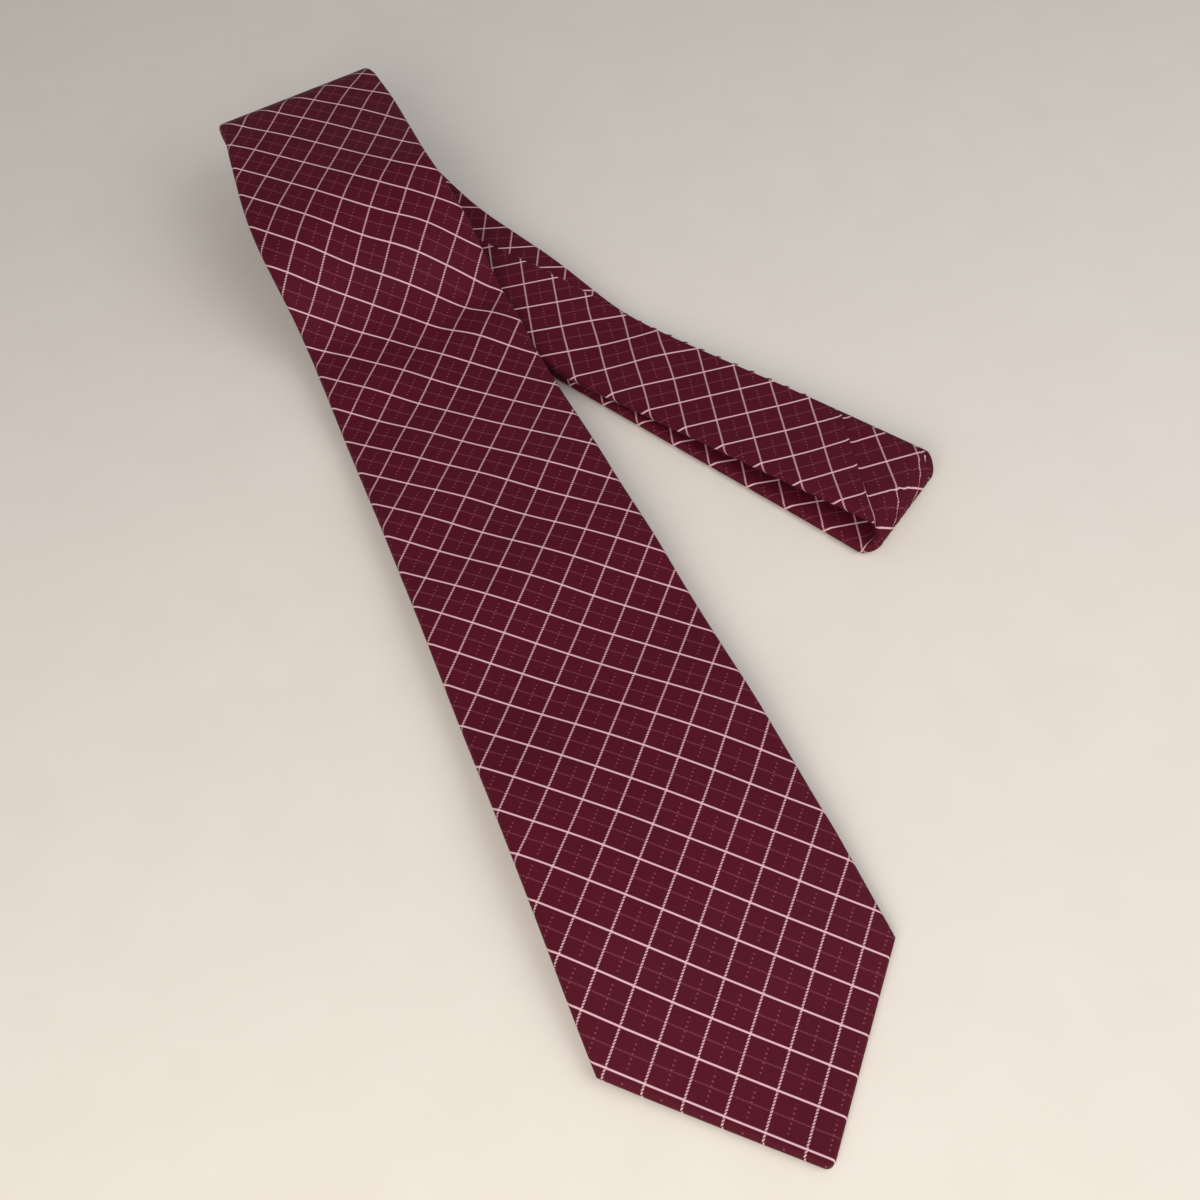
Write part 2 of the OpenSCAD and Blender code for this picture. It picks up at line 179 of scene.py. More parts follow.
# ---- how the tie lies ----
class Fold:
    """A leg turned under itself about a straight line, the way the part's folds are. It
    starts at a station and a place, where the leg's travel, its side and the fold's line
    are directions in degrees. The leg drifts along the line as it turns. Facing is 1 where
    the tie's face is outside, and -1 where its back is."""

    def __init__(self, start, place, travel, side, line, radius, drift, facing):
        self.start, self.place, self.radius = start, place, radius
        self.drift, self.facing, self.line = drift, facing, unit(line)
        across = unit(line + 90)
        self.across = across if across @ unit(travel) > 0 else -across
        self.arc = math.pi * radius
        self.travel, self.side = unit(travel), unit(side)
        self.run = self.arc / (self.across @ self.travel)
        self.out_s = start + self.run
        self.out_place = place + self.line * (self.run * (self.travel @ self.line) + drift)
        self.out_travel, self.out_side = 2 * line - travel, 2 * line - side

    def past(self, s, r):
        """Distance past the fold line, measured along the cloth."""
        return (s - self.start) * (self.travel @ self.across) + r * (self.side @ self.across)

    def point(self, level, s, r, d):
        """A point of the roll, which starts at the level and turns down."""
        past = self.past(s, r)
        along = (s - self.start) * (self.travel @ self.line) + r * (self.side @ self.line)
        turn = past / self.radius
        reach = self.radius + self.facing * d
        flat = (self.place + self.across * (reach * np.sin(turn))[..., None]
                + self.line * (along + self.drift * past / self.arc)[..., None])
        return raised(flat, level - self.radius + reach * np.cos(turn))


def raised(flat, z):
    return np.concatenate([flat, np.broadcast_to(z, flat.shape[:-1])[..., None]], -1)


# where the levels change, as distances along a leg
RETURN_LEAVES_ROLL = (8, 55)
RETURN_LEAVES_TAIL = (80, 130)
NECK_SETTLES = (150, 262)
NECK_LEVELS_OUT = (0, 40)
NECK_LEANS = (40, 90)
NECK_STANDS_UP = (215, 262)


def return_level(q):
    """Height of the return leg at q from the third fold. It lies on the tail, then on the
    floor."""
    return (HALF_T + RETURN_OVER * (1 - smooth(*RETURN_LEAVES_TAIL, q))
            + (RETURN_LIFT - HALF_T - RETURN_OVER) * (1 - smooth(*RETURN_LEAVES_ROLL, q)))


def neck_level(q):
    """Height of the neck at q from the first fold. It lies on the end of the return leg."""
    return (NECK_OVER + return_level(q - NECK_BEHIND)
            + (NECK_LIFT - HALF_T - NECK_OVER) * smooth(*NECK_SETTLES, q))


# the neck's way between its folds, as runs: each has a length, and a turn in degrees
NECK_RUNS = [(8, 0), (60, 3.9), (66, 0), (36, 7.1), (106, 0)]


def along_run(mark, run, gone):
    """The place reached after a distance gone from a mark, which is a station, a place and
    a heading."""
    at, place, heading = mark
    length, turn = run
    if turn == 0:
        return place + gone[..., None] * unit(heading)
    bend = length / math.radians(turn)
    centred = np.radians(heading + turn * gone / length - 90)
    return place + bend * (np.stack([np.cos(centred), np.sin(centred)], -1)
                           - unit(heading - 90))


FOLD1 = Fold(BLADE_LEN, TIP_PLACE + [-0.9, BLADE_LEN], 90, 0, 10.2,
             (BLADE_LIFT - neck_level(0)) / 2, -3.9, 1)
NECK_MARKS = [(FOLD1.out_s, FOLD1.out_place, FOLD1.out_travel)]
for neck_run in NECK_RUNS:
    run_length, run_turn = neck_run
    last_mark = NECK_MARKS[-1]
    NECK_MARKS.append((last_mark[0] + run_length,
                       along_run(last_mark, neck_run, np.array(float(run_length))),
                       last_mark[2] + run_turn))
neck_end, neck_end_place, neck_end_travel = NECK_MARKS[-1]
FOLD2 = Fold(neck_end, neck_end_place, neck_end_travel,
             FOLD1.out_side + neck_end_travel - FOLD1.out_travel, 29.6,
             (NECK_LIFT - HALF_T) / 2, -8, -1)
FOLD3 = Fold(FOLD2.out_s + RETURN_LEN, FOLD2.out_place + RETURN_LEN * unit(FOLD2.out_travel),
             FOLD2.out_travel, FOLD2.out_side, 13.75, (RETURN_LIFT - HALF_T) / 2, 0, 1)
TIE_LEN = FOLD3.out_s + TAIL_LEN


def ripple(s, r):
    """How far the swells and hollows lift the blade."""
    return sum(height * np.exp(-((s - at_s) / reach_s) ** 2 - ((r - at_r) / reach_r) ** 2)
               for at_s, at_r, height, reach_s, reach_r in BLADE_RIPPLES)


def blade_height(s, r):
    return look_up(s, BLADE_HEIGHTS) + look_up(s, BLADE_TILTS) * r + ripple(s, r)


def blade_point(s, r, d):
    rise = (blade_height(s + 1, r) - blade_height(s - 1, r)) / 2
    tilt = (blade_height(s, r + 1) - blade_height(s, r - 1)) / 2
    turn = (look_up(s + 1, BLADE_SWAYS) - look_up(s - 1, BLADE_SWAYS)) / 2
    up = 1 / np.sqrt(rise ** 2 + tilt ** 2 + 1)
    flat = np.stack([r + look_up(s, BLADE_SWAYS) - d * tilt * up,
                     s - turn * r - d * rise * up], -1)
    return raised(TIP_PLACE + flat, blade_height(s, r) + d * up)


def neck_height(s, r):
    q = s - FOLD1.out_s
    lean = NECK_TILT * smooth(*NECK_LEANS, q) * (1 - smooth(*NECK_STANDS_UP, q))
    return neck_level(q) + r * (FOLD1_TILT * (1 - smooth(*NECK_LEVELS_OUT, q)) + lean)


def neck_point(s, r, d):
    flat, heading = np.zeros(s.shape + (2,)), np.zeros(s.shape)
    for mark, run in zip(NECK_MARKS, NECK_RUNS):
        at, place, mark_heading = mark
        length, bend = run
        here = (s >= at) | (mark is NECK_MARKS[0])
        flat[here] = along_run(mark, run, s - at)[here]
        heading[here] = (mark_heading + bend * (s - at) / length)[here]
    travel, side = np.radians(heading), np.radians(heading + FOLD1.out_side - FOLD1.out_travel)
    rise = (neck_height(s + 1, r) - neck_height(s - 1, r)) / 2
    up = 1 / np.sqrt(rise ** 2 + 1)
    flat += np.stack([np.cos(travel), np.sin(travel)], -1) * (d * rise * up)[..., None]
    flat += np.stack([np.cos(side), np.sin(side)], -1) * r[..., None]
    return raised(flat, neck_height(s, r) - d * up)


def return_point(s, r, d):
    q = FOLD3.start - s
    rise = (return_level(q - 1) - return_level(q + 1)) / 2
    up = 1 / np.sqrt(rise ** 2 + 1)
    flat = (FOLD2.out_place + unit(FOLD2.out_travel) * (s - FOLD2.out_s - d * rise * up)[..., None]
            + unit(FOLD2.out_side) * r[..., None])
    return raised(flat, return_level(q) + d * up)


def tail_point(s, r, d):
    flat = (FOLD3.out_place + unit(FOLD3.out_travel) * (s - FOLD3.out_s)[..., None]
            + unit(FOLD3.out_side) * r[..., None])
    return raised(flat, HALF_T - d)


def lay(s, r, d):
    """Where a point of the tie lies: s along it, r across it and d towards its face."""
    s, r, d = (np.array(x, float) for x in np.broadcast_arrays(s, r, d))
    place = tail_point(s, r, d)
    for here, made in (
        (FOLD3.past(s, r) < FOLD3.arc, FOLD3.point(RETURN_LIFT, s, r, d)),
        (FOLD3.past(s, r) < 0, return_point(s, r, d)),
        (FOLD2.past(s, r) < FOLD2.arc, FOLD2.point(NECK_LIFT, s, r, d)),
        (FOLD2.past(s, r) < 0, neck_point(s, r, d)),
        (FOLD1.past(s, r) < FOLD1.arc, FOLD1.point(BLADE_LIFT + FOLD1_TILT * r, s, r, d)),
        (FOLD1.past(s, r) < 0, blade_point(s, r, d)),
    ):
        place[here] = made[here]
    return place


# ---- the section of the tie ----
CLOTH_T = 0.34
# distances from the tie's middle layer to the cloth of its face and of the lapped panel
FACE_D = HALF_T - CLOTH_T / 2
INNER_D = 0.8
TURNED = 0.18
LIP = 3
HEM = 14
# distances from a tip to the top of its opening and to where the seam is lapped
GAP_TOP = 66
SEAM_STARTS = 104
TIP_ROUND = 3
# half the gap between two folded edges that meet
SHUT = 0.15
INNER_REACH = -6
# where across the tie the seam lies, at distances from the front tip
NECK_SEAM = NECK_HALF - 1.2
SEAM_PLACES = [(480, 4), (525, 7), (600, NECK_SEAM), (1000, NECK_SEAM), (1040, 4)]


def to_tip(s):
    """Distance to the nearer tip."""
    return np.minimum(s, TIE_LEN - s)


def end_half(s):
    """Half the width at the corners of the nearer point."""
    return np.where(s < TIE_LEN / 2, BLADE_HALF, TAIL_HALF)


def half_width(s):
    """Half the tie's width. The two points are a little blunt."""
    u = to_tip(s)
    blunt = np.sqrt(np.maximum(0, TIP_ROUND ** 2 - (u - TIP_ROUND * math.sqrt(2)) ** 2))
    half = np.minimum(u, look_up(s, WIDTHS))
    return np.where(u < TIP_ROUND / math.sqrt(2), blunt, half)


def thinness(s):
    """The tie thins out in the last millimetres of a point."""
    return np.minimum(1, 0.9 * half_width(s) / HALF_T)


def hem_gap(s):
    """Half the opening between the two back panels: closed in the hem, wide open at the
    corners of the point and closed again at the tack."""
    u, half = to_tip(s), end_half(s)
    closing = SHUT + (half - HEM) * (1 - np.clip((u - half) / (GAP_TOP - half), 0, 1))
    return np.where(u < HEM, SHUT, np.where(u < half, np.minimum(half, u) - HEM + SHUT, closing))


def outer_end(s):
    """How far across the outer back panel reaches: to the seam, or to the opening."""
    closed = smooth(SEAM_STARTS - 16, SEAM_STARTS, to_tip(s))
    return (1 - closed) * -hem_gap(s) + closed * look_up(s, SEAM_PLACES)


def inner_end(s):
    """How far across the inner back panel reaches, under the outer one."""
    closed = smooth(SEAM_STARTS - 16, SEAM_STARTS, to_tip(s))
    return (1 - closed) * hem_gap(s) + closed * INNER_REACH


def inner_level(s):
    """How deep the inner back panel lies: level with the outer one where they don't lap."""
    lapped = smooth(SEAM_STARTS - 26, SEAM_STARTS - 16, to_tip(s))
    return FACE_D * (1 - lapped) + INNER_D * lapped


PANEL_STEPS = np.linspace(0, 1, 10)
FACE_STEPS = np.linspace(-1, 1, 27)[1:-1]
ROLL_TURNS = np.radians(np.linspace(0, 180, 9))
LIP_COLUMNS = 4
LEFT_ROLL = LIP_COLUMNS + len(PANEL_STEPS) - 1
LEFT_EDGE = LEFT_ROLL + len(ROLL_TURNS) // 2
MIDDLE = LEFT_ROLL + len(ROLL_TURNS) + len(FACE_STEPS) // 2


def shell_section(s, pinch):
    """Columns of the shell across the tie at the rows s: the lip of the outer back panel,
    the panel, the left roll, the face, the right roll, and the inner back panel with its
    lip. Gives r, d and the distance along the cloth from the middle of the face."""
    s = s[:, None]
    thin = thinness(s)
    w = half_width(s) - HALF_T * thin
    face, turned = FACE_D * thin * pinch, TURNED * thin
    back = inner_level(s) * thin * pinch
    roll = (face + back) / 2
    lip = (LIP - 0.4) * smooth(6, 14, to_tip(s)) + turned
    left, right = outer_end(s), inner_end(s)
    one = np.ones_like(s)
    outer = [(left - lip, -face + 2 * turned), (left - lip * 0.4, -face + 2 * turned),
             (left - turned, -face + 2 * turned), (left, -face + turned)]
    outer += [(left - turned + (turned - left - w) * t, -face * one) for t in PANEL_STEPS[:-1]]
    left_roll = [(-w - face * math.sin(a), -face * math.cos(a)) for a in ROLL_TURNS]
    top = [(w * t, face * one) for t in FACE_STEPS]
    right_roll = [(w + roll * math.sin(a), face - roll + roll * math.cos(a))
                  for a in ROLL_TURNS]
    inner = [(w + (right + turned - w) * t, -back * one) for t in PANEL_STEPS[1:]]
    inner += [(right, -back + turned), (right + turned, -back + 2 * turned),
              (right + lip * 0.4, -back + 2 * turned), (right + lip, -back + 2 * turned)]
    columns = outer + left_roll + top + right_roll + inner
    r = np.concatenate([c[0] * one for c in columns], 1)
    d = np.concatenate([c[1] * one for c in columns], 1)
    walked = np.cumsum(np.hypot(np.diff(r, axis=1), np.diff(d, axis=1)), axis=1)
    walked = np.concatenate([np.zeros_like(one), walked], 1)
    return r, d, walked - walked[:, [MIDDLE]]


# ---- where the pattern lies: bias cloth gives a little where the tie bends ----
CLOTH_SHIFT_X = [(0, 0.5), (60, 0.1), (200, -1.05), (315, -1.9), (345, -2.6), (375, -2.8),
                 (405, -0.9), (440, 0)]
CLOTH_SHIFT_Y = [(150, 0), (200, -0.5), (300, -0.5), (315, -0.7), (345, -1.7), (375, -3.4),
                 (405, -5.8)]
CLOTH_SKEW = [(100, 0), (120, -0.03), (320, -0.03), (345, 0.057), (375, -0.09), (405, -0.19),
              (440, 0)]
CLOTH_STRETCH = [(250, 1.01), (320, 1.03), (400, 1.05), (440, 1.01)]
# on the neck the grain runs a few degrees off the blade's: a shift, and its growth for
# each millimetre along the tie from the middle of the neck and across the cut
NECK_GRAIN_X = (0.4, 0.009, -0.083)
NECK_GRAIN_Y = (-5, 0.019, -0.045)
NECK_MIDDLE, NECK_ENDS = 600, 760
MIDDLE_CLOTH_SHIFT = (-3.4, 1.2)
TAIL_CLOTH_SHIFT = (2, 5)


def walked_table():
    """Distance along the side of the tie that is outside at each fold."""
    s = np.arange(0, TIE_LEN + 1, 1.0)
    d = np.where((s > FOLD1.out_s) & (s < FOLD2.out_s + 8), -FACE_D, FACE_D)[:-1]
    steps = lay(s[1:], 0, d) - lay(s[:-1], 0, d)
    return s, np.concatenate([[0], np.cumsum(np.linalg.norm(steps, axis=-1))])


WALKED_AT, WALKED = walked_table()


def cut_place(s, c, at_point, shift):
    """Place in the cut cloth of a point at station s and distance c from the middle. Past
    an edge the cloth is turned over, so its place is reflected in that edge."""
    slope = (look_up(s + 1, WIDTHS) - look_up(s - 1, WIDTHS)) / 2
    if at_point:
        slope = np.where(s < TIE_LEN / 2, 1.0, -1.0)
    right_edge = c.shape[1] - 1 - LEFT_EDGE
    edge = np.where(c < 0, -c[:, [LEFT_EDGE]], c[:, [right_edge]])
    past = np.maximum(0, np.abs(c) - edge)
    x = np.sign(c) * (np.minimum(np.abs(c), edge)
                      + past * (1 - 2 * slope ** 2 / (1 + slope ** 2)))
    y = np.interp(s, WALKED_AT, WALKED) - 2 * past * slope / (1 + slope ** 2)
    x = x * look_up(s, CLOTH_STRETCH) + look_up(s, CLOTH_SHIFT_X)
    y = y + look_up(s, CLOTH_SHIFT_Y) + look_up(s, CLOTH_SKEW) * x
    under_blade = smooth(460, 520, s)
    terms = 1, np.minimum(s, NECK_ENDS) - NECK_MIDDLE, x
    grain_x = sum(k * term for k, term in zip(NECK_GRAIN_X, terms))
    grain_y = sum(k * term for k, term in zip(NECK_GRAIN_Y, terms))
    return np.stack([x + under_blade * grain_x + shift[0],
                     y + under_blade * grain_y + shift[1]], -1)


def flat_cut(name, rows, columns):
    """A flat grid, with the row and the column of each of its points."""
    bpy.ops.object.select_all(action="DESELECT")
    bpy.ops.mesh.primitive_grid_add(x_subdivisions=columns - 1, y_subdivisions=rows - 1, size=1)
    piece = bpy.context.object
    piece.name = piece.data.name = name
    points = np.array([v.co for v in piece.data.vertices])
    column = np.rint((points[:, 0] + 0.5) * (columns - 1)).astype(int)
    row = np.rint((points[:, 1] + 0.5) * (rows - 1)).astype(int)
    return piece, row, column


def map_cloth(piece, cut):
    """Writes the place in the cut cloth of each corner of each face, in millimetres, to the
    piece's UV map."""
    layer = piece.data.uv_layers[0]
    layer.name = "cloth"
    layer.data.foreach_set("uv", cut.astype(np.float32).ravel())


# the angle in degrees past which an edge of the cloth is drawn sharp
CREASE = 50


def finish_sheet(piece, place, thickness):
    """Moves the points to their places and gives the sheet its thickness."""
    piece.data.vertices.foreach_set("co", (place * MM).astype(np.float32).ravel())
    bpy.ops.object.mode_set(mode="EDIT")
    bpy.ops.mesh.select_all(action="SELECT")
    bpy.ops.mesh.remove_doubles(threshold=0.00001)
    bpy.ops.object.mode_set(mode="OBJECT")
    wall = piece.modifiers.new("cloth_thickness", "SOLIDIFY")
    wall.thickness = thickness * MM
    wall.offset = 0
    bpy.ops.object.modifier_apply(modifier=wall.name)
    bpy.ops.object.shade_smooth_by_angle(angle=math.radians(CREASE))


def loop_rows(piece, row, column):
    """Row and column of each corner of each face."""
    corner = np.array([loop.vertex_index for loop in piece.data.loops])
    return row[corner], column[corner]


# a point thins about its middle, so it is let down onto what it lies on
POINT_DROOP = 1.4
# how far the face stands proud in its middle, and how uneven the filling leaves it
CROWN, LUMPS, RIBS = 0.25, 0.1, 0.06


def shell_cloth(name, stations, lags, pinch, shift):
    """A piece of the shell. lags moves the rows along the tie, from their r and c."""
    r, d, c = shell_section(stations, pinch[:, None])
    s = stations[:, None] + lags(stations[:, None], r, c)
    place = lay(s, r, d + cushion(s, r, d))
    place[..., 2] -= POINT_DROOP * (1 - thinness(s))
    piece, row, column = flat_cut(name, *r.shape)
    body_cut, point_cut = cut_place(s, c, False, shift), cut_place(s, c, True, shift)
    rows, columns = loop_rows(piece, row, column)
    middle = stations[rows].reshape(-1, 4).mean(axis=1)
    pointed = np.repeat(to_tip(middle) < end_half(middle), 4)[:, None]
    cut = np.where(pointed, point_cut[rows, columns], body_cut[rows, columns])
    map_cloth(piece, cut)
    finish_sheet(piece, place[row, column], CLOTH_T)
    return piece


def cushion(s, r, d):
    """The face stands a little proud in the middle, and the soft filling isn't quite even."""
    crown = CROWN * (1 - (r / np.maximum(half_width(s), 1)) ** 2)
    lumps = LUMPS * np.sin(s / 9.5 + r / 13) * np.sin(r / 8.5 - s / 31)
    ribs = RIBS * np.sin(s / 5.1)
    on_blade = (1 - smooth(370, 400, s)) * smooth(4, 20, s)
    return (crown + lumps + ribs) * on_blade * smooth(0.6, 1, d / FACE_D)


def steps(a, b, step):
    """Even steps from a to b, none longer than step."""
    return np.linspace(a, b, max(2, math.ceil((b - a) / step) + 1))


def rows_of(*runs):
    """The rows of several runs in one list, each once."""
    return np.unique(np.round(np.concatenate(runs), 4))


def seam_pinch(stations, *joins):
    """The cloth dips into the seam at a join."""
    return 1 - 0.2 * sum((np.exp(-((stations - j) / 0.9) ** 2) for j in joins), 0 * stations)


# the rows of the first roll lie along it, and the shell is cut in two at its crest
FOLD1_SLANT = -(FOLD1.side @ FOLD1.across) / (FOLD1.travel @ FOLD1.across)
CREST_S = BLADE_LEN + FOLD1.run / 2


# each piece's rows lean to lie along the first fold or the sewn join that ends it
def blade_lag(s, r, c):
    return FOLD1_SLANT * r * smooth(350, 405, s)


def fold_lag(s, r, c):
    return FOLD1_SLANT * r * (1 - smooth(475, 530, s))


def front_neck_lag(s, r, c):
    return (fold_lag(s, r, c)
            + JOIN_SLOPE * (c - c[:, [LEFT_EDGE]]) * smooth(580, JOIN1_AT, s))


def middle_lag(s, r, c):
    return (JOIN_SLOPE * (c - c[:, [LEFT_EDGE]]) * (1 - smooth(JOIN1_AT, 880, s))
            + JOIN_SLOPE * c * smooth(1020, JOIN2_AT, s))


def tail_lag(s, r, c):
    return JOIN_SLOPE * c * (1 - smooth(JOIN2_AT, JOIN2_AT + 100, s))


# stations before and after each fold, and where the seam begins to lap
FOLD1_FROM, FOLD1_TO = 405, 472
FOLD2_FROM, FOLD2_TO = 725, 755
FOLD3_FROM, FOLD3_TO = 970, 1030
LAP_FROM = 105
# rows beside a join, where the cloth dips into it, and in a point, where its end is round
JOIN_ROWS = np.array([0, 0.6, 1.2, 2])
TIP_ROWS = TIP_ROUND * np.array([math.sqrt(2) - 1, math.sqrt(0.5)])
POINT_ROWS = rows_of(TIP_ROWS, [1.3, 1.5, 1.8, 2.6, 3.2, 4, 5, 6, 7, 8.5, 10, 12, HEM])

blade_rows = rows_of(POINT_ROWS, steps(HEM, BLADE_HALF, 2), steps(BLADE_HALF, LAP_FROM, 2),
                     steps(LAP_FROM, FOLD1_FROM, 2.5), steps(FOLD1_FROM, CREST_S, 0.8))
front_neck_rows = rows_of(steps(CREST_S, FOLD1_TO, 0.8), steps(FOLD1_TO, 690, 2.5),
                          steps(690, JOIN1_AT - 3, 1.2), JOIN1_AT - JOIN_ROWS)
middle_rows = rows_of(JOIN1_AT + JOIN_ROWS, steps(JOIN1_AT + 3, 800, 1.2),
                      steps(800, FOLD3_FROM, 3), steps(FOLD3_FROM, FOLD3_TO, 1),
                      steps(FOLD3_TO, JOIN2_AT - 3, 3), JOIN2_AT - JOIN_ROWS)
tail_rows = rows_of(JOIN2_AT + JOIN_ROWS, steps(JOIN2_AT + 3, TIE_LEN - LAP_FROM, 3),
                    TIE_LEN - steps(TAIL_HALF, LAP_FROM, 2),
                    TIE_LEN - steps(HEM, TAIL_HALF, 1.5), TIE_LEN - POINT_ROWS)

# ---- the shell ----
blade_shell = shell_cloth("blade_cloth", blade_rows, blade_lag, seam_pinch(blade_rows), (0, 0))
front_neck = shell_cloth("front_neck_cloth", front_neck_rows, front_neck_lag,
                         seam_pinch(front_neck_rows, JOIN1_AT), (0, 0))
middle_shell = shell_cloth("middle_neck_cloth", middle_rows, middle_lag,
                           seam_pinch(middle_rows, JOIN1_AT, JOIN2_AT), MIDDLE_CLOTH_SHIFT)
tail_shell = shell_cloth("tail_cloth", tail_rows, tail_lag,
                         seam_pinch(tail_rows, JOIN2_AT), TAIL_CLOTH_SHIFT)


# ---- interlining and linings: flat strips inside the shell ----
STRIP_STEPS = np.linspace(-1, 1, 17)


def strip(name, stations, half, level, thickness, lags=None):
    """A strip across the tie at one level, half(s) wide to each side."""
    s = stations[:, None]
    r = half(s) * STRIP_STEPS[None, :]
    s = s + (lags(s, r, r) if lags else 0 * r)
    place = lay(s, r, level)
    piece, row, column = flat_cut(name, *r.shape)
    rows, columns = loop_rows(piece, row, column)
    cut = np.stack([r, np.interp(s, WALKED_AT, WALKED)], -1)[rows, columns]
    map_cloth(piece, cut)
    finish_sheet(piece, place[row, column], thickness)
    return piece


def canvas_half(s):
    return half_width(s) - HALF_T - 0.3


def lining_half(s):
    return half_width(s) - HALF_T - 0.8


CANVAS_D, CANVAS_T = 0.3, 1
CANVAS_JOIN = 706
LINING_D, LINING_T = -0.86, 0.14
LINING_LEN = 76
blade_canvas = strip(
    "blade_canvas",
    rows_of(steps(6, BLADE_HALF, 3), steps(BLADE_HALF, FOLD1_FROM, 5),
            steps(FOLD1_FROM, CREST_S, 0.8)),
    canvas_half, CANVAS_D, CANVAS_T, blade_lag)
neck_canvas = strip(
    "neck_canvas", rows_of(steps(CREST_S, FOLD1_TO, 0.8), steps(FOLD1_TO, CANVAS_JOIN, 4)),
    canvas_half, CANVAS_D, CANVAS_T, fold_lag)
rear_canvas = strip(
    "rear_canvas",
    rows_of(steps(CANVAS_JOIN + 0.3, FOLD2_FROM, 3), steps(FOLD2_FROM, FOLD2_TO, 0.9),
            steps(FOLD2_TO, FOLD3_FROM, 5), steps(FOLD3_FROM, FOLD3_TO, 1),
            steps(FOLD3_TO, TIE_LEN - TAIL_HALF, 5),
            steps(TIE_LEN - TAIL_HALF, TIE_LEN - 6, 2.5)),
    canvas_half, CANVAS_D, CANVAS_T)
blade_lining = strip(
    "blade_lining", rows_of(steps(5, BLADE_HALF, 2), steps(BLADE_HALF, LINING_LEN, 2)),
    lining_half, LINING_D, LINING_T)
tail_lining = strip(
    "tail_lining",
    TIE_LEN - rows_of(steps(5, TAIL_HALF, 2), steps(TAIL_HALF, LINING_LEN, 2))[::-1],
    lining_half, LINING_D, LINING_T)


# ---- trim on the back of the blade ----
KEEPER_BEND = 0.34
KEEPER_T = 0.3


def keeper_cloth():
    """A strip of the shell's cloth folded flat into a band, 11 mm wide, that crosses the
    back and stands clear of it between its two sewn ends."""
    across = np.linspace(-KEEPER_LEN / 2, KEEPER_LEN / 2, 45)[:, None]
    bend, half = KEEPER_BEND, KEEPER_WIDE / 2
    turns = np.radians(np.linspace(-90, 90, 7))
    flat_run = np.linspace(1, -1, 9)[1:-1] * (half - bend)
    along = np.concatenate([half - bend + bend * np.cos(turns), flat_run,
                            bend - half - bend * np.cos(turns), -flat_run,
                            [half - bend + bend * math.cos(turns[0])]])[None, :]
    out = np.concatenate([bend * np.sin(turns), flat_run * 0 + bend,
                          -bend * np.sin(turns), flat_run * 0 - bend,
                          [bend * math.sin(turns[0])]])[None, :]
    clear = HALF_T + 0.5 + 1.3 * smooth(0, 9, KEEPER_LEN / 2 - np.abs(across))
    place = lay(KEEPER_AT + half + along, across, -(clear + out))
    piece, row, column = flat_cut("keeper_cloth", *place.shape[:2])
    rows, columns = loop_rows(piece, row, column)
    around = np.cumsum(np.hypot(np.diff(along[0]), np.diff(out[0])))
    around = np.concatenate([[0], around])
    cut = np.stack([around[columns], across[:, 0][rows]], -1)
    map_cloth(piece, cut)
    finish_sheet(piece, place[row, column], KEEPER_T)
    return piece


def back_cloth(name, s_path, r_path, d_path, thickness):
    """A small sheet on the back of the blade, from the path of its rows and columns."""
    place = lay(s_path, r_path, d_path)
    piece, row, column = flat_cut(name, *place.shape[:2])
    rows, columns = loop_rows(piece, row, column)
    walk_r = np.cumsum(np.linalg.norm(np.diff(place[0], axis=0), axis=-1))
    walk_s = np.cumsum(np.linalg.norm(np.diff(place[:, 0], axis=0), axis=-1))
    walk_r, walk_s = np.concatenate([[0], walk_r]), np.concatenate([[0], walk_s])
    cut = np.stack([walk_r[columns] - walk_r[-1] / 2, walk_s[rows] - walk_s[-1] / 2], -1)
    map_cloth(piece, cut)
    finish_sheet(piece, place[row, column], thickness)
    return piece


LABEL_HALF, LABEL_TALL, LABEL_FOLD = 26, 26, 5
LABEL_LEVELS = -1.86, -1.96, -2.06


def name_label():
    """A woven label with its two ends turned under, and nothing written on it."""
    end, inside = LABEL_HALF, LABEL_HALF - LABEL_FOLD
    r = np.concatenate([[-inside, -end + 2, -end + 0.1, -end], steps(-end + 0.1, end - 0.1, 3),
                        [end, end - 0.1, end - 2, inside]])
    under, bend, top = LABEL_LEVELS
    d = np.full(len(r), top)
    d[:3], d[-3:], d[3], d[-4] = under, under, bend, bend
    s = steps(LABEL_AT, LABEL_AT + LABEL_TALL, 2)
    return back_cloth("name_label", s[:, None], r[None, :], d[None, :], 0.14)


TAG_SEWN, TAG_LONG = 158, 24


def care_tape():
    """A satin tape folded double, sewn down at its open end."""
    out = np.concatenate([np.linspace(0, TAG_LONG - 0.1, 12), [TAG_LONG],
                          np.linspace(TAG_LONG - 0.1, 0, 12)])
    layer = np.concatenate([np.full(12, 0.1), [0.0], np.full(12, -0.1)])
    d = -1.3 - 0.6 * smooth(0, 14, out) - layer
    r = np.linspace(8, 24, 9)
    s = TAG_SEWN - out
    return back_cloth("care_tape", s[::-1, None], r[None, :], d[::-1, None], 0.12)


keeper = keeper_cloth()
label = name_label()
tape = care_tape()


